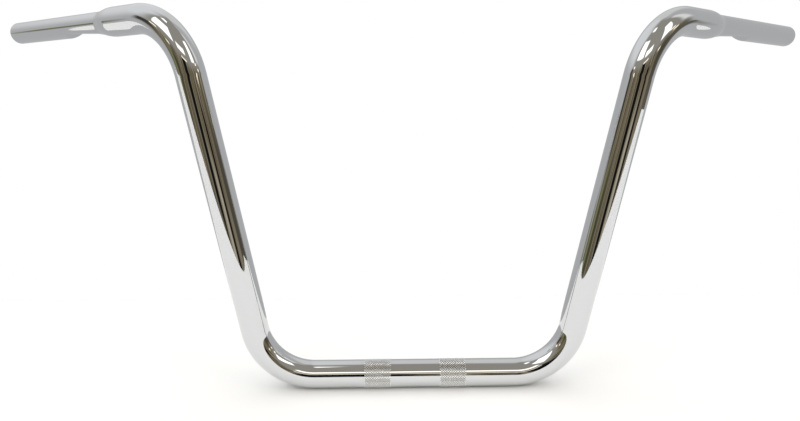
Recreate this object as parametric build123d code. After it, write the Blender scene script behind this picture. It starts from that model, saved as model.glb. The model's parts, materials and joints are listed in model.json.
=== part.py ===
"""An ape hanger handlebar: one steel tube, bent four times, with its two ends drawn down for the grips.

The origin is the middle of the base tube's axis, where the risers clamp it. +X runs along the base,
+Y towards the rider and +Z up. The uprights lean outwards in the XZ plane.
"""

from build123d import *
import os
from math import cos, radians, sin, tan

# Driving dimensions, in millimetres and degrees

# The tube and its run
tube_diameter = 31.75
tube_wall = 3.05
bend_radius = 68.0
base_half_width = 171.0
upright_length = 404.0
upright_lean = 10.5
grip_reach = 307.0
grip_sweep = 35.3
grip_droop = 2.3

# The ends, drawn down by swaging, which thickens their wall
grip_diameter = 25.4
grip_wall = 3.25
grip_length = 181.0
swage_length = 26.0
swage_foot_share = 0.28
end_bore_diameter = 19.3
end_bore_depth = 112.0
end_bore_shoulder = 2.0
end_bevel = 0.8

# The two knurled bands that the riser clamps grip
knurl_spacing = 86.0
knurl_width = 31.0
knurl_rise = 0.2

# The pressed flat under each grip, where the wires of the switches pass
dimple_from_end = 119.0
dimple_ramp = 22.0
dimple_floor = 36.0
dimple_lift = 6.0
dimple_outer_depth = 4.9
dimple_inner_depth = 1.75
dimple_rim_round = 40.0
dimple_corner_round = 12.0

# How far a cutting solid runs past the faces that it cuts, and the press past the grip before its ramp
overrun = 1.0
press_clearance = 0.3

tube_radius = tube_diameter / 2
bore_radius = tube_radius - tube_wall
grip_radius = grip_diameter / 2
grip_bore_radius = grip_radius - grip_wall
end_bore_radius = end_bore_diameter / 2

tube_section = Circle(tube_radius) - Circle(bore_radius)

lean = radians(upright_lean)
sweep_back = radians(grip_sweep)
droop = radians(grip_droop)
base_way = Vector(1, 0, 0)
upright_way = Vector(sin(lean), 0, cos(lean))
grip_way = Vector(cos(droop) * cos(sweep_back), cos(droop) * sin(sweep_back), -sin(droop))
lower_corner = base_way * base_half_width
upper_corner = lower_corner + upright_way * upright_length


def tangent_length(way_in, way_out):
    """How far from its corner a bend starts and ends."""
    return bend_radius * tan(radians(way_in.get_angle(way_out) / 2))


def bent_tube(corner, way_in, way_out):
    """The tube round one bend, turned about the axis that both runs share."""
    start = corner - way_in * tangent_length(way_in, way_out)
    turning_axis = way_in.cross(way_out).normalized()
    centre = start + turning_axis.cross(way_in) * bend_radius
    section = Plane(origin=start, x_dir=turning_axis, z_dir=way_in) * tube_section
    return revolve(section, Axis(centre, turning_axis), way_in.get_angle(way_out))


def straight_tube(start, end):
    """The plain tube from one point to another."""
    run = end - start
    return extrude(Plane(origin=start, z_dir=run.normalized()) * tube_section, run.length)


def ogee(shoulder, foot):
    """A round shoulder and a tighter hollow foot between points (radius, height): two tangent arcs.

    Arcs that leave along the height and meet smoothly meet on the line between their far ends.
    """
    meeting = tuple(f + swage_foot_share * (s - f) for s, f in zip(shoulder, foot))
    rounded = TangentArc(shoulder, meeting, tangent=(0, 1))
    hollow = TangentArc(foot, meeting, tangent=(0, -1))
    return Curve() + rounded + hollow


def base_tube():
    """The straight base, turned about X with its two raised bands."""
    half = base_half_width - tangent_length(base_way, upright_way)
    band_radius = tube_radius + knurl_rise
    outline = [(-half, bore_radius), (-half, tube_radius)]
    for middle in (-knurl_spacing / 2, knurl_spacing / 2):
        foot = knurl_width / 2 + knurl_rise
        crest = knurl_width / 2
        outline += [(middle - foot, tube_radius), (middle - crest, band_radius)]
        outline += [(middle + crest, band_radius), (middle + foot, tube_radius)]
    outline += [(half, tube_radius), (half, bore_radius)]
    return revolve(make_face(Polyline(*outline, close=True)), Axis.X)


def drawn_end():
    """The run after the upper bend, along local Z, with the swage, the grip and the dimple facing local X."""
    length = grip_reach - tangent_length(upright_way, grip_way)
    swage_foot = length - grip_length
    swage_top = swage_foot - swage_length

    outside = Curve() + Polyline((0, length), (0, 0), (tube_radius, 0), (tube_radius, swage_top))
    outside += ogee((tube_radius, swage_top), (grip_radius, swage_foot))
    outside += Polyline(
        (grip_radius, swage_foot),
        (grip_radius, length - end_bevel),
        (grip_radius - end_bevel, length),
        (0, length),
    )

    reamed_from = length - end_bore_depth
    past_end = length + overrun
    inside = Curve() + Polyline((0, past_end), (0, -overrun), (bore_radius, -overrun), (bore_radius, swage_top))
    inside += ogee((bore_radius, swage_top), (grip_bore_radius, swage_foot))
    inside += Polyline(
        (grip_bore_radius, swage_foot),
        (grip_bore_radius, reamed_from - end_bore_shoulder),
        (end_bore_radius, reamed_from),
        (end_bore_radius, past_end),
        (0, past_end),
    )

    rim = length - dimple_from_end
    above_grip = grip_radius + press_clearance
    above_tube = tube_diameter
    floor_outer = (grip_radius - dimple_outer_depth, rim - dimple_ramp)
    floor_inner = (grip_radius - dimple_inner_depth, floor_outer[1] - dimple_floor)
    lift_slope = dimple_lift / dimple_inner_depth
    approach = dimple_rim_round
    press = make_face(
        Polyline(
            (above_grip, rim + approach),
            (above_grip, rim),
            floor_outer,
            floor_inner,
            (above_tube, floor_inner[1] - (above_tube - floor_inner[0]) * lift_slope),
            (above_tube, rim + approach),
            close=True,
        )
    )
    for corner, radius in (((above_grip, rim), dimple_rim_round), (floor_outer, dimple_corner_round)):
        nearest = press.vertices().sort_by_distance(Vector(*corner))[0]
        press = fillet(nearest, radius)

    def across(face):
        return extrude(Plane.XZ * face, tube_diameter, both=True)

    outer = revolve(Plane.XZ * make_face(outside), Axis.Z)
    bore = revolve(Plane.XZ * make_face(inside), Axis.Z)
    outer -= across(press)
    bore -= across(offset(press, grip_wall))
    return outer - bore


def arm():
    """Everything on the +X side of the base: two bends, the upright between them and the drawn end."""
    upright_start = lower_corner + upright_way * tangent_length(base_way, upright_way)
    upright_end = upper_corner - upright_way * tangent_length(upright_way, grip_way)
    end_start = upper_corner + grip_way * tangent_length(upright_way, grip_way)
    underside = (grip_way * grip_way.Z - Vector(0, 0, 1)).normalized()
    pieces = [
        bent_tube(lower_corner, base_way, upright_way),
        straight_tube(upright_start, upright_end),
        bent_tube(upper_corner, upright_way, grip_way),
        Plane(origin=end_start, x_dir=underside, z_dir=grip_way) * drawn_end(),
    ]
    return Part() + pieces


right_arm = arm()
handlebar = base_tube() + right_arm + mirror(right_arm, about=Plane.YZ)
handlebar.label = "handlebar"

os.makedirs("parts", exist_ok=True)
export_step(handlebar, "parts/handlebar.step")

box = handlebar.bounding_box()
print(f"handlebar: {len(handlebar.solids())} solid, {handlebar.volume:.0f} mm3")
print(f"overall: {box.size.X:.1f} wide, {box.size.Y:.1f} deep, {box.size.Z:.1f} high")
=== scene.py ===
# %% [markdown]
# A chromed ape hanger handlebar.
# The bar is one steel tube: bent four times, drawn down at both ends, knurled where the risers clamp it,
# and plated with bright chrome. Chrome has no colour of its own, so most of this lesson is about two things:
# a skin smooth enough to reflect a room without a ripple, and a room worth reflecting.

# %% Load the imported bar
import json
import math

import bpy
from mathutils import Matrix, Vector


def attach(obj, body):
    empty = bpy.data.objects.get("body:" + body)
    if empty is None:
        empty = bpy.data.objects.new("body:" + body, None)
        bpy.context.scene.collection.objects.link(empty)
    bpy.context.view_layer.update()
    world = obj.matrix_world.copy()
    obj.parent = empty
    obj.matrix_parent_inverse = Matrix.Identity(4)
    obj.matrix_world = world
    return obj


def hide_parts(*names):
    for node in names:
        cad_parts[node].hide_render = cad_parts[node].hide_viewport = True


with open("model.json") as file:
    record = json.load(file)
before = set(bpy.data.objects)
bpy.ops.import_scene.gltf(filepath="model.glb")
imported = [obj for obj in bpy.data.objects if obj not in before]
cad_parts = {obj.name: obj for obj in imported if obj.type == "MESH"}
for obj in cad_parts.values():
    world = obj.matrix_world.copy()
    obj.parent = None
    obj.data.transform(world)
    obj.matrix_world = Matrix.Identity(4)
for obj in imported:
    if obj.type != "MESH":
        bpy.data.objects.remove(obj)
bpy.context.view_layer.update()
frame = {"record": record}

# %% [markdown]
# The bar's own sizes.
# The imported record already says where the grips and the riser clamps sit, so those are read from it.
# The axis of each grip crosses the plane of the uprights at the upper corner of the bar's centre line, and the
# lean of the uprights then gives the lower corner. What no mount says, such as the swage, is written in mm.
# The dimple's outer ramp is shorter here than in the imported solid: seen obliquely, a flat pressed into a round
# tube shows a gentler step than it has, and only these sizes allow for that.

# %% Sizes from the frame, and the few that it does not hold
MM = 0.001
mounts = {mount["name"]: mount for mount in frame["record"]["mounts"]}
grip_seat = mounts["right_grip_seat"]
riser_seat = mounts["right_riser_seat"]
end_bore = mounts["right_end_bore"]

grip_way = Vector(grip_seat["axis"]).normalized()
grip_end = Vector(end_bore["pos_m"]) + grip_way * (end_bore["dims"]["length_mm"] * MM / 2)
upper_corner = grip_end - grip_way * (grip_end.y / grip_way.y)
upright_lean = math.radians(10.5)
lower_corner = Vector((upper_corner.x - upper_corner.z * math.tan(upright_lean), 0, 0))

tube_radius = 31.75 * MM / 2
band_radius = riser_seat["dims"]["r_mm"] * MM
end_bevel = 0.8 * MM
sizes = {
    "Tube radius": tube_radius,
    "Tube wall": 3.05 * MM,
    "Bend radius": 68.0 * MM,
    "Grip radius": grip_seat["dims"]["r_mm"] * MM,
    "Grip wall": 3.25 * MM,
    "Grip length": grip_seat["dims"]["length_mm"] * MM + end_bevel,
    "Swage length": 26.0 * MM,
    "Swage foot share": 0.28,
    "End bevel": end_bevel,
    "End bore radius": end_bore["dims"]["r_mm"] * MM,
    "End bore depth": end_bore["dims"]["length_mm"] * MM,
    "Dimple from end": 114.0 * MM,
    "Dimple ramp": 8.0 * MM,
    "Dimple floor": 55.0 * MM,
    "Dimple lift": 6.0 * MM,
    "Dimple outer depth": 5.0 * MM,
    "Dimple inner depth": 1.75 * MM,
    "Dimple edge round": 1.2 * MM,
}
print("upper corner", upper_corner, "lower corner", lower_corner)

# %% [markdown]
# Writing node trees as sums.
# Both the tube's shape and its finish are formulas, and a formula is easier to read as `1 - mask` than as boxes
# and wires. One small class wraps a node's output socket: arithmetic on it adds Math nodes, and `make` adds any
# other node, with its settings first and then its inputs.

# %% A socket that does arithmetic


class Wire:
    """A node's output socket. Adding, scaling or comparing wires adds the Math nodes that work it out."""

    def __init__(self, socket):
        self.socket = socket

    @staticmethod
    def make(tree, kind, settings=None, inputs=None, output=0):
        """A new node of this kind; returns the wire of one of its outputs."""
        node = tree.nodes.new(kind)
        for name, value in (settings or {}).items():
            if name == "stops":
                Wire.set_stops(node.color_ramp, value)
            else:
                setattr(node, name, value)
        for key, value in (inputs or {}).items():
            if isinstance(value, Wire):
                tree.links.new(value.socket, node.inputs[key])
            else:
                node.inputs[key].default_value = value
        return Wire(node.outputs[output])

    @staticmethod
    def set_stops(ramp, stops):
        """Fills a colour ramp with (place, colour) pairs."""
        while len(ramp.elements) < len(stops):
            ramp.elements.new(1.0)
        for element, (place, colour) in zip(ramp.elements, stops):
            element.position = place
            element.color = (*colour, 1.0)

    def output(self, name):
        """Another output of the node that this wire leaves."""
        return Wire(self.socket.node.outputs[name])

    def math(self, operation, *others):
        values = (self, *others)
        inputs = {place: value for place, value in enumerate(values)}
        return Wire.make(self.socket.id_data, "ShaderNodeMath", {"operation": operation}, inputs)

    def vector(self, operation, *others, output="Vector", **named):
        values = (self, *others)
        inputs = {place: value for place, value in enumerate(values)}
        inputs.update(named)
        return Wire.make(
            self.socket.id_data, "ShaderNodeVectorMath", {"operation": operation}, inputs, output
        )

    def __add__(self, other):
        return self.math("ADD", other)

    def __radd__(self, other):
        return self.math("ADD", other)

    def __sub__(self, other):
        return self.math("SUBTRACT", other)

    def __rsub__(self, other):
        return (self * -1.0) + other

    def __mul__(self, other):
        return self.math("MULTIPLY", other)

    def __rmul__(self, other):
        return self.math("MULTIPLY", other)

    def __truediv__(self, other):
        return self.math("DIVIDE", other)

    def __rtruediv__(self, other):
        return self.math("POWER", -1.0) * other

    def __neg__(self):
        return self * -1.0

    def smaller(self, other):
        return self.math("MINIMUM", other)

    def larger(self, other):
        return self.math("MAXIMUM", other)

    def between(self, low, high):
        """0 at low and below, 1 at high and above, and a smooth step between."""
        return Wire.make(
            self.socket.id_data,
            "ShaderNodeMapRange",
            {"interpolation_type": "SMOOTHSTEP"},
            {"Value": self, "From Min": low, "From Max": high},
        )

    def pick(self, below, above, edge):
        """below where this wire is under the edge, and above elsewhere."""
        over = self.math("GREATER_THAN", edge)
        return below * (1.0 - over) + above * over


# %% [markdown]
# From a tree to a plain mesh.
# A geometry tree with named inputs is hung on an object as a modifier, its inputs are filled in by their
# identifiers, and the finished mesh is copied off it. What is left is an ordinary object at the origin.

# %% A geometry tree and the piece that it grows


def geometry_tree(name, input_names):
    """An empty tree with a geometry input and these number inputs; returns it with its input wires."""
    tree = bpy.data.node_groups.new(name, "GeometryNodeTree")
    tree.interface.new_socket("Geometry", in_out="OUTPUT", socket_type="NodeSocketGeometry")
    tree.interface.new_socket("Geometry", in_out="INPUT", socket_type="NodeSocketGeometry")
    for input_name in input_names:
        tree.interface.new_socket(input_name, in_out="INPUT", socket_type="NodeSocketFloat")
    entry = Wire.make(tree, "NodeGroupInput")
    wires = {input_name: entry.output(input_name) for input_name in ["Geometry", *input_names]}
    return tree, wires


def finish_tree(tree, geometry, material):
    """Realises what the tree made, gives it its material and leads it out."""
    whole = Wire.make(tree, "GeometryNodeRealizeInstances", inputs={"Geometry": geometry})
    dressed = Wire.make(
        tree, "GeometryNodeSetMaterial", inputs={"Geometry": whole, "Material": material}
    )
    way_out = tree.nodes.new("NodeGroupOutput")
    tree.links.new(dressed.socket, way_out.inputs["Geometry"])


def grow(name, tree, values, seed_mesh):
    """The piece that a tree makes of a starting mesh, as a plain mesh object at the origin."""
    seed = bpy.data.objects.new(name + "_seed", seed_mesh)
    bpy.context.scene.collection.objects.link(seed)
    modifier = seed.modifiers.new(name, "NODES")
    modifier.node_group = tree
    for item in tree.interface.items_tree:
        if item.in_out == "INPUT" and item.name in values:
            modifier[item.identifier] = values[item.name]
    bpy.context.view_layer.update()
    grown = seed.evaluated_get(bpy.context.evaluated_depsgraph_get())
    mesh = bpy.data.meshes.new_from_object(grown)
    seed.modifiers.remove(modifier)
    bpy.data.objects.remove(seed)
    mesh.name = name
    piece = bpy.data.objects.new(name, mesh)
    bpy.context.scene.collection.objects.link(piece)
    triangles = sum(len(face.vertices) - 2 for face in mesh.polygons)
    print(f"{name}: {len(mesh.vertices)} points, {triangles} triangles")
    return piece


# %% [markdown]
# Bright chrome.
# Chrome plate is a thin, hard, slightly blue metal over polished nickel. It sends back about two thirds of the
# light. Its polish is never perfect: the buffing wheel leaves long faint waves and a haze of fine lines, which
# is what makes a real reflection lean and break a little. Both go in here as roughness and a very small bump.
# The skin under the knurl is darkened, as the bottoms of its grooves see little light, and the diamonds on it
# are paler than chrome is. Without that push the pattern is lost when the bar is seen whole.

# %% The chrome finish

KNURL_RUN_OUT = 1.4
band_half = (riser_seat["dims"]["length_mm"] / 2 - KNURL_RUN_OUT) * MM


def chrome(name, tint, smoothest, dullest, wave, groove_shade=1.0):
    """A plated metal: its colour, its roughness between two limits, the height of its polishing waves in
    metres, and the share of its colour that is left in the knurl's grooves as painted shade."""
    material = bpy.data.materials.new(name)
    material.use_nodes = True
    tree = material.node_tree
    shader = tree.nodes["Principled BSDF"]
    place = Wire.make(tree, "ShaderNodeTexCoord").output("Object")
    haze = Wire.make(
        tree,
        "ShaderNodeTexNoise",
        inputs={"Vector": place, "Scale": 45.0, "Detail": 4.0, "Roughness": 0.6},
    )
    waves = Wire.make(
        tree,
        "ShaderNodeTexNoise",
        inputs={"Vector": place, "Scale": 14.0, "Detail": 1.0, "Roughness": 0.4},
    )
    bump = Wire.make(
        tree,
        "ShaderNodeBump",
        inputs={"Strength": 1.0, "Distance": wave, "Height": waves},
    )
    roughness = smoothest + haze.between(0.35, 0.75) * (dullest - smoothest)
    along = Wire.make(tree, "ShaderNodeSeparateXYZ", inputs={0: place}, output="X")
    from_band = (along.math("ABSOLUTE") - riser_seat["pos_m"][0]).math("ABSOLUTE")
    height = Wire.make(tree, "ShaderNodeSeparateXYZ", inputs={0: place}, output="Z")
    in_band = from_band.math("LESS_THAN", band_half) * height.math("LESS_THAN", 2 * tube_radius)
    colour = Wire.make(
        tree,
        "ShaderNodeMix",
        {"data_type": "RGBA"},
        {"Factor": in_band, 6: (*tint, 1.0), 7: (*(groove_shade * part for part in tint), 1.0)},
        output=2,
    )
    tree.links.new(colour.socket, shader.inputs["Base Color"])
    shader.inputs["Metallic"].default_value = 1.0
    tree.links.new(roughness.socket, shader.inputs["Roughness"])
    tree.links.new(bump.socket, shader.inputs["Normal"])
    return material


bright_chrome = chrome("bright_chrome", (0.69, 0.70, 0.71), 0.015, 0.045, 0.000012, 0.38)
knurled_chrome = chrome("knurled_chrome", (0.95, 0.95, 0.94), 0.16, 0.26, 0.000005)
print("finishes:", bright_chrome.name, knurled_chrome.name)

# %% [markdown]
# The tube.
# A tube bender pushes a straight tube round a die, so the centre line is straight runs joined by arcs of one
# radius. Six corner points and a Fillet Curve node make exactly that. The skin is a grid wrapped round the
# curve: each row of the grid is a ring, placed by its distance from the nearer end, because everything that
# happens to the tube - bevel, grip, dimple, swage - is measured from there. A Curve to Mesh node would be
# shorter, but it cannot press a flat into one side or close up the rings where the shape is busy.

# %% The formulas of the tube's outside, inside and dimple

RINGS_OUTSIDE = 640
RINGS_INSIDE = 200
POINTS_AROUND = 112
BUSY_LENGTH = 225.0 * MM
BUSY_SHARE = 0.5
BEND_STEPS = 160
WELD_DISTANCE = 2e-6
CRISP_ANGLE = 0.5


def outside_radius(size, from_end):
    """Grip, hollow foot, round shoulder and full tube, with the bevel at the very end."""
    along = ((from_end - size["Grip length"]) / size["Swage length"]).larger(0.0).smaller(1.0)
    share = size["Swage foot share"]
    step = size["Tube radius"] - size["Grip radius"]
    hollow = size["Grip radius"] + step * along * along / share
    rounded = size["Tube radius"] - step * (1.0 - along) * (1.0 - along) / (1.0 - share)
    swaged = along.pick(hollow, rounded, share)
    bevelled = size["Grip radius"] - size["End bevel"] + from_end
    return swaged.smaller(bevelled)


def inside_radius(size, from_end):
    """The reamed end, the thicker drawn wall and the plain bore of the tube."""
    along = ((from_end - size["Grip length"]) / size["Swage length"]).larger(0.0).smaller(1.0)
    grip_bore = size["Grip radius"] - size["Grip wall"]
    tube_bore = size["Tube radius"] - size["Tube wall"]
    drawn = grip_bore + (tube_bore - grip_bore) * along.between(0.0, 1.0)
    return from_end.pick(size["End bore radius"], drawn, size["End bore depth"])


def dimple_level(size, from_end):
    """How far below the grip's axis the pressed flat lies: a ramp, a rising floor and the lift to the swage."""
    ramp_rate = size["Dimple outer depth"] / size["Dimple ramp"]
    floor_rate = (size["Dimple outer depth"] - size["Dimple inner depth"]) / size["Dimple floor"]
    lift_rate = size["Dimple inner depth"] / size["Dimple lift"]
    into_dimple = from_end - size["Dimple from end"]
    along_floor = into_dimple - size["Dimple ramp"]
    ramp = size["Grip radius"] - into_dimple * ramp_rate
    floor = size["Grip radius"] - size["Dimple outer depth"] + along_floor * floor_rate
    lift = size["Grip radius"] - size["Dimple inner depth"]
    lift = lift + (along_floor - size["Dimple floor"]) * lift_rate
    return ramp.math("SMOOTH_MAX", floor, size["Dimple edge round"]).larger(lift)


# %% [markdown]
# Wrapping a grid into a tube.
# Two long grids become the outside and the bore, and two narrow ones the cut faces at the ends. Half of the
# rings go to the outermost stretches at the two ends, where the bevel, the dimple and the swage are. The dimple
# is pressed into both skins, into the bore one wall further in, as a press leaves it. Last, the seams are
# welded and only sharp edges stay crisp.

# %% The tube's tree


def ring_grid(tree, rings, points_around):
    """A flat grid of unit size: x runs along the bar and y round it."""
    return Wire.make(
        tree,
        "GeometryNodeMeshGrid",
        inputs={"Size X": 1.0, "Size Y": 1.0, "Vertices X": rings, "Vertices Y": points_around + 1},
    )


def wrapped(tree, grid, curve, reach, radius, floor_level, edge_round, turn_sign):
    """The grid wrapped round the curve at these distances and radii, its underside pressed up to the floor."""
    grid_place = Wire.make(tree, "GeometryNodeInputPosition")
    turn = Wire.make(tree, "ShaderNodeSeparateXYZ", inputs={0: grid_place}, output="Y")
    angle = turn * (turn_sign * math.tau)
    sample = Wire.make(
        tree,
        "GeometryNodeSampleCurve",
        {"mode": "LENGTH", "use_all_curves": True},
        {"Curves": curve, "Length": reach},
    )
    centre, tangent = sample.output("Position"), sample.output("Tangent")
    sideways = tangent.vector("CROSS_PRODUCT", (0.0, 0.0, 1.0)).vector("NORMALIZE")
    upwards = sideways.vector("CROSS_PRODUCT", tangent)
    across = radius * angle.math("COSINE")
    height = radius * angle.math("SINE")
    pressed = height.math("SMOOTH_MAX", -floor_level, edge_round)
    offset = sideways.vector("SCALE", Scale=across).vector("ADD", upwards.vector("SCALE", Scale=pressed))
    return Wire.make(
        tree,
        "GeometryNodeSetPosition",
        inputs={"Geometry": grid, "Position": centre.vector("ADD", offset)},
    )


def tube_tree():
    """Route in, plated tube out."""
    tree, size = geometry_tree("bent_tube", list(sizes))
    line = Wire.make(tree, "GeometryNodeMeshToCurve", inputs={"Mesh": size["Geometry"]})
    curve = Wire.make(
        tree,
        "GeometryNodeFilletCurve",
        {"mode": "POLY"},
        {"Curve": line, "Count": BEND_STEPS, "Radius": size["Bend radius"], "Limit Radius": False},
    )
    length = Wire.make(tree, "GeometryNodeCurveLength", inputs={"Curve": curve})

    grid_place = Wire.make(tree, "GeometryNodeInputPosition")
    row = Wire.make(tree, "ShaderNodeSeparateXYZ", inputs={0: grid_place}, output="X") * 2.0
    spread = row.math("ABSOLUTE")
    quiet = length * 0.5 - (length * 0.5 - BUSY_LENGTH) * spread / (1.0 - BUSY_SHARE)
    busy = (1.0 - spread) * (BUSY_LENGTH / BUSY_SHARE)
    from_end = spread.pick(quiet, busy, 1.0 - BUSY_SHARE)
    reach = row.pick(from_end, length - from_end, 0.0)

    level = dimple_level(size, from_end)
    outside = wrapped(
        tree,
        ring_grid(tree, RINGS_OUTSIDE, POINTS_AROUND),
        curve,
        reach,
        outside_radius(size, from_end),
        level,
        size["Dimple edge round"],
        1.0,
    )
    inside = wrapped(
        tree,
        ring_grid(tree, RINGS_INSIDE, POINTS_AROUND),
        curve,
        reach,
        inside_radius(size, from_end),
        level - size["Grip wall"],
        size["Dimple edge round"],
        -1.0,
    )
    face_radius = size["Grip radius"] - size["End bevel"]
    half_row = row * 0.5 + 0.5
    far_face = face_radius + (size["End bore radius"] - face_radius) * half_row
    near_face = size["End bore radius"] + (face_radius - size["End bore radius"]) * half_row
    clear = size["Tube radius"]
    parts = [outside, inside]
    for face_reach, face in ((length * 1.0, far_face), (length * 0.0, near_face)):
        washer = ring_grid(tree, 2, POINTS_AROUND)
        parts.append(wrapped(tree, washer, curve, face_reach, face, clear, 0.0, 1.0))

    joined = tree.nodes.new("GeometryNodeJoinGeometry")
    for part in parts:
        tree.links.new(part.socket, joined.inputs[0])
    welded = Wire.make(
        tree,
        "GeometryNodeMergeByDistance",
        inputs={"Geometry": Wire(joined.outputs[0]), "Distance": WELD_DISTANCE},
    )
    smooth = Wire.make(tree, "GeometryNodeSetShadeSmooth", inputs={"Geometry": welded})
    bend = Wire.make(tree, "GeometryNodeInputMeshEdgeAngle")
    crisp = Wire.make(
        tree,
        "GeometryNodeSetShadeSmooth",
        {"domain": "EDGE"},
        {"Geometry": smooth, "Selection": bend.math("GREATER_THAN", CRISP_ANGLE), "Shade Smooth": False},
    )
    finish_tree(tree, crisp, bright_chrome)
    return tree


# %% [markdown]
# The route.
# The bar is its own mirror image, so half of its corners are enough: where the base turns up, where the upright
# turns back, and the end of the grip. The other half is the same points with X turned over.

# %% Grow the tube along its route


def mirrored(point):
    return Vector((-point.x, point.y, point.z))


half_route = [lower_corner, upper_corner, grip_end]
route = [mirrored(point) for point in reversed(half_route)] + half_route
route_mesh = bpy.data.meshes.new("route")
route_mesh.from_pydata(route, [(i, i + 1) for i in range(len(route) - 1)], [])
bar = grow("bar_tube", tube_tree(), sizes, route_mesh)
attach(bar, "root")
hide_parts("handlebar")

# %% [markdown]
# The knurl.
# A pair of hardened wheels rolls two sets of slanting grooves into the tube, and what stands between them is
# rows of little flat-topped diamonds. One diamond is a four-cornered circle, stretched, drawn up and narrowed
# at its top; a tree sets it on every place of a staggered lattice wound round the tube. The grooves between
# them are the tube's own skin. The diamonds are coarser than a real knurl's, so that they still show when the
# bar is seen whole.

# %% The knurled bands

knurl_sizes = {
    "Groove radius": tube_radius - 0.03 * MM,
    "Crest radius": band_radius,
    "Band length": riser_seat["dims"]["length_mm"] * MM,
    "Band middle": riser_seat["pos_m"][0],
    "Diamonds round": 36.0,
    "Rows": 21.0,
    "Top share": 0.6,
    "Diamond share": 0.76,
}


def knurl_tree():
    """One band of diamonds round the X axis."""
    tree, size = geometry_tree("knurl_band", list(knurl_sizes))
    around, rows = size["Diamonds round"], size["Rows"]
    pitch_around = size["Groove radius"] * math.tau / around
    pitch_along = size["Band length"] / (rows + 1.0)
    share = size["Diamond share"]
    stretch = Wire.make(
        tree,
        "ShaderNodeCombineXYZ",
        inputs={"X": pitch_along * share, "Y": pitch_around * 0.5 * share, "Z": 1.0},
    )
    rhombus = Wire.make(
        tree, "GeometryNodeMeshCircle", {"fill_type": "NGON"}, {"Vertices": 4, "Radius": 1.0}
    )
    flat = Wire.make(
        tree, "GeometryNodeTransform", inputs={"Geometry": rhombus, "Scale": stretch}
    )
    raised = Wire.make(
        tree,
        "GeometryNodeExtrudeMesh",
        {"mode": "FACES"},
        {"Mesh": flat, "Offset Scale": size["Crest radius"] - size["Groove radius"]},
    )
    diamond = Wire.make(
        tree,
        "GeometryNodeScaleElements",
        {"domain": "FACE"},
        {"Geometry": raised, "Selection": raised.output("Top"), "Scale": size["Top share"]},
    )
    spots = Wire.make(tree, "GeometryNodePoints", inputs={"Count": around * rows})
    index = Wire.make(tree, "GeometryNodeInputIndex")
    row = (index / around).math("FLOOR")
    stagger = row.math("MODULO", 2.0) * 0.5
    turn = (index - row * around + stagger) * (math.tau / around)
    along = size["Band middle"] - size["Band length"] * 0.5 + (row + 1.0) * pitch_along
    spot = Wire.make(
        tree,
        "ShaderNodeCombineXYZ",
        inputs={
            "X": along,
            "Y": -size["Groove radius"] * turn.math("SINE"),
            "Z": size["Groove radius"] * turn.math("COSINE"),
        },
    )
    placed = Wire.make(tree, "GeometryNodeSetPosition", inputs={"Geometry": spots, "Position": spot})
    tilt = Wire.make(tree, "ShaderNodeCombineXYZ", inputs={"X": turn})
    band = Wire.make(
        tree,
        "GeometryNodeInstanceOnPoints",
        inputs={"Points": placed, "Instance": diamond, "Rotation": tilt},
    )
    finish_tree(tree, band, knurled_chrome)
    return tree


band_tree = knurl_tree()
for band_name, side in (("knurl_left", -1.0), ("knurl_right", 1.0)):
    values = dict(knurl_sizes)
    values["Band middle"] = side * knurl_sizes["Band middle"]
    band = grow(band_name, band_tree, values, bpy.data.meshes.new("empty"))
    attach(band, "root")

# %% [markdown]
# The floor.
# The bar stands on its base tube on a pale, matt sheet. A polished tube shows where such a sheet ends, so its
# edges are part of the picture: three quarters of a metre in front of the bar, two metres and more to the
# sides, and close behind it.

# %% Lay the floor

FLOOR_FRONT, FLOOR_BACK = -0.74, 0.28
FLOOR_LEFT, FLOOR_RIGHT = -2.6, 2.0
floor_mesh = bpy.data.meshes.new("floor")
corners = [
    (FLOOR_LEFT, FLOOR_FRONT),
    (FLOOR_RIGHT, FLOOR_FRONT),
    (FLOOR_RIGHT, FLOOR_BACK),
    (FLOOR_LEFT, FLOOR_BACK),
]
floor_mesh.from_pydata([(x, y, -band_radius) for x, y in corners], [], [(0, 1, 2, 3)])
floor = bpy.data.objects.new("floor", floor_mesh)
bpy.context.scene.collection.objects.link(floor)
floor_paint = bpy.data.materials.new("pale_floor")
floor_paint.use_nodes = True
floor_shader = floor_paint.node_tree.nodes["Principled BSDF"]
floor_shader.inputs["Base Color"].default_value = (0.88, 0.88, 0.875, 1.0)
floor_shader.inputs["Roughness"].default_value = 0.9
floor_shader.inputs["Specular IOR Level"].default_value = 0.1
floor_mesh.materials.append(floor_paint)
print("floor:", FLOOR_RIGHT - FLOOR_LEFT, "m wide,", FLOOR_BACK - FLOOR_FRONT, "m deep")

# %% [markdown]
# The room.
# A polished tube is a fisheye mirror: it shows the sheet it stands on, pale walls to the sides and behind, and
# the dim brown room behind the camera with its lamps. That room is painted on the world as soft-edged patches,
# each placed by its azimuth and elevation in degrees, with azimuth 0 behind the camera. The camera itself sees
# only plain white.

# %% Paint the room

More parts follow.
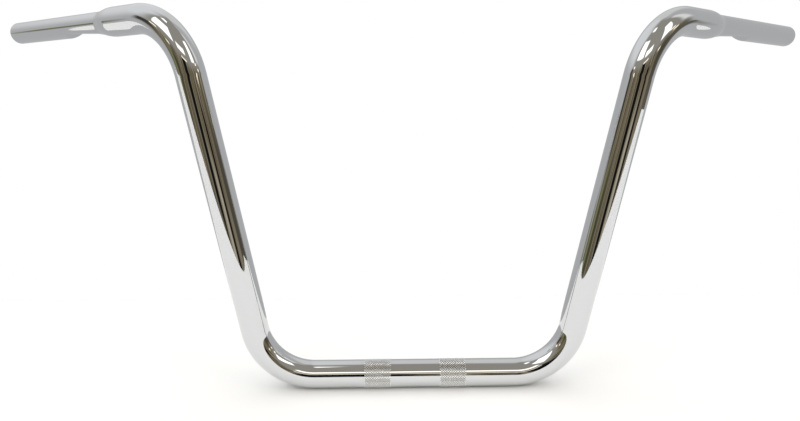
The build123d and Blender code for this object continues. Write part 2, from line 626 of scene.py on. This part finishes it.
PALE_WALL = (0.535, 0.535, 0.54, 1.0)
CEILING = (0.35, 0.33, 0.29, 1.0)
HIGH_BEHIND = (0.76, 0.76, 0.75, 1.0)
PATCHES = [
    # azimuth, elevation, half width, half height, softness, colour
    (-128, 48, 46, 26, 14, (0.86, 0.87, 0.88)),
    (90, 44, 7, 20, 5, (0.92, 0.91, 0.88)),
    (88, -3, 8, 9, 2, (0.13, 0.12, 0.09)),
    (-58, -3, 12, 7, 4, (0.075, 0.072, 0.04)),
    (-68, -4, 6, 9, 3, (0.22, 0.23, 0.12)),
    (72, 0, 12, 8, 4, (0.09, 0.08, 0.06)),
    (-80, 13, 7, 7, 3, (0.06, 0.055, 0.045)),
    (-17, -9, 6, 7, 3, (0.24, 0.215, 0.165)),
    (16, -10, 6, 7, 3, (0.50, 0.46, 0.37)),
    (50, -8, 9, 6, 3, (0.26, 0.22, 0.16)),
    (31, -4, 6, 9, 2, (0.010, 0.008, 0.006)),
    (-6, 4, 9, 17, 2.5, (0.008, 0.008, 0.007)),
    (-47, 45, 21, 14, 1.5, (1.9, 1.9, 1.85)),
    (55, 40, 10, 15, 1.5, (1.9, 1.88, 1.8)),
    (-95, -1, 3.5, 3.5, 2, (0.20, 0.20, 0.11)),
    (-48, 79, 24, 4, 2, (1.8, 1.8, 1.75)),
    (0, 33.5, 16, 4.5, 1.5, (1.9, 1.84, 1.66)),
    (0, 20, 12, 1.0, 0.8, (1.8, 1.6, 1.25)),
    (55, 11, 3, 1.2, 0.8, (1.8, 1.6, 1.25)),
    (69, 23, 4, 1.6, 0.8, (1.8, 1.6, 1.25)),
    (76, 16, 3, 1.4, 0.8, (1.8, 1.6, 1.25)),
    (-55, 13, 3, 1.2, 0.8, (1.8, 1.6, 1.25)),
    (-69, 21, 4, 1.6, 0.8, (1.8, 1.6, 1.25)),
]


def room():
    """The surroundings by direction: pale walls, a dim streaked front wall, a ceiling and the patches."""
    world = bpy.data.worlds.new("room")
    bpy.context.scene.world = world
    world.use_nodes = True
    tree = world.node_tree
    tree.nodes.clear()
    way = Wire.make(tree, "ShaderNodeTexCoord").output("Generated")
    apart = Wire.make(tree, "ShaderNodeSeparateXYZ", inputs={0: way})
    to_degrees = 180.0 / math.pi
    elevation = apart.output("Z").math("ARCSINE") * to_degrees
    azimuth = apart.output("X").math("ARCTAN2", apart.output("Y") * -1.0) * to_degrees

    def over(base, paint, mask):
        return Wire.make(
            tree,
            "ShaderNodeMix",
            {"data_type": "RGBA", "blend_type": "MIX"},
            {"Factor": mask, 6: base, 7: paint},
            output=2,
        )

    def close_to(angle, centre, half, softness):
        away = (angle - centre).math("ABSOLUTE")
        return 1.0 - away.between(half - softness, half + softness)

    streak_place = Wire.make(
        tree, "ShaderNodeCombineXYZ", inputs={"X": azimuth * 0.24, "Y": elevation * 0.012}
    )
    streaks = Wire.make(
        tree,
        "ShaderNodeTexNoise",
        inputs={"Vector": streak_place, "Scale": 1.0, "Detail": 5.0, "Roughness": 0.6},
    )
    dim_wall = Wire.make(
        tree,
        "ShaderNodeValToRGB",
        {
            "stops": [
                (0.34, (0.012, 0.010, 0.007)),
                (0.44, (0.09, 0.075, 0.045)),
                (0.54, (0.24, 0.20, 0.13)),
                (0.66, (0.55, 0.46, 0.32)),
            ]
        },
        {0: streaks},
    )
    front = over(dim_wall, CEILING, elevation.between(8.0, 24.0))
    to_sides = (azimuth * -1.0).between(76.0, 91.0) + azimuth.between(86.0, 97.0)
    surroundings = over(front, PALE_WALL, to_sides)
    high_behind = azimuth.math("ABSOLUTE").between(125.0, 150.0) * close_to(elevation, 52.0, 24.0, 8.0)
    surroundings = over(surroundings, HIGH_BEHIND, high_behind)
    surroundings = over(surroundings, CEILING, elevation.between(70.0, 84.0))
    for centre, height, half_width, half_height, softness, colour in PATCHES:
        across = close_to(azimuth, centre, half_width, softness)
        upright = close_to(elevation, height, half_height, softness)
        surroundings = over(surroundings, (*colour, 1.0), across * upright)
    camera_ray = Wire.make(tree, "ShaderNodeLightPath").output("Is Camera Ray")
    shown = over(surroundings, (1.0, 1.0, 1.0, 1.0), camera_ray)
    background = Wire.make(tree, "ShaderNodeBackground", inputs={"Color": shown, "Strength": 1.0})
    way_out = tree.nodes.new("ShaderNodeOutputWorld")
    tree.links.new(background.socket, way_out.inputs["Surface"])
    print(f"the room: {len(PATCHES)} patches, {len(tree.nodes)} nodes")


room()

# %% [markdown]
# The light.
# A large diffuser overhead gives only a faint shadow under the base. A sun with a very wide angle stands for
# it, tilted a little so that the light comes from the front, and kept out of the reflections, as the room's
# patches already hold the lamps that the chrome shows.

# %% Hang the light

SUN_STRENGTH = 1.75
SUN_WIDTH = math.radians(110.0)
SUN_TILT = math.radians(16.0)
sun_light = bpy.data.lights.new("soft_overhead", "SUN")
sun_light.energy = SUN_STRENGTH
sun_light.angle = SUN_WIDTH
sun = bpy.data.objects.new("soft_overhead", sun_light)
sun.rotation_euler = (SUN_TILT, 0.0, 0.0)
sun.visible_glossy = False
bpy.context.scene.collection.objects.link(sun)
print("sun:", sun_light.energy, "strong,", round(math.degrees(sun_light.angle)), "degrees wide")

# %% [markdown]
# The camera.
# The uprights, the swept grips and the narrowing of the tube towards its ends say from where the bar is seen.
# They tie distance and lens only loosely: from 0.7 to 1 m the outline fits about as well. The bar's sizes were
# read with the nearest of these, so it is used here too. Angles are in radians.

# %% Set up the camera

CAMERA_DISTANCE = 701.0 * MM
CAMERA_AZIMUTH = -0.0314
CAMERA_ELEVATION = 0.2278
CAMERA_ROLL = 0.0026
CAMERA_TARGET = Vector((-17.6, 0.0, 193.1)) * MM
FOCAL_PIXELS = 642.4
IMAGE_WIDTH = 800

camera_data = bpy.data.cameras.new("camera")
camera_data.sensor_fit = "HORIZONTAL"
camera_data.lens = camera_data.sensor_width * FOCAL_PIXELS / IMAGE_WIDTH
camera_data.clip_end = 200.0
camera = bpy.data.objects.new("camera", camera_data)
to_camera = Vector(
    (
        math.sin(CAMERA_AZIMUTH) * math.cos(CAMERA_ELEVATION),
        -math.cos(CAMERA_AZIMUTH) * math.cos(CAMERA_ELEVATION),
        math.sin(CAMERA_ELEVATION),
    )
)
right = (-to_camera).cross(Vector((0, 0, 1))).normalized()
camera_up = to_camera.cross(right)
turned_right = right * math.cos(CAMERA_ROLL) + camera_up * math.sin(CAMERA_ROLL)
turned_up = camera_up * math.cos(CAMERA_ROLL) - right * math.sin(CAMERA_ROLL)
facing = Matrix((turned_right, turned_up, to_camera)).transposed().to_4x4()
camera.matrix_world = Matrix.Translation(CAMERA_TARGET + to_camera * CAMERA_DISTANCE) @ facing
bpy.context.scene.collection.objects.link(camera)
bpy.context.scene.camera = camera
bpy.context.scene.view_settings.view_transform = "Standard"
print("camera at", camera.location, "lens", round(camera_data.lens, 2))
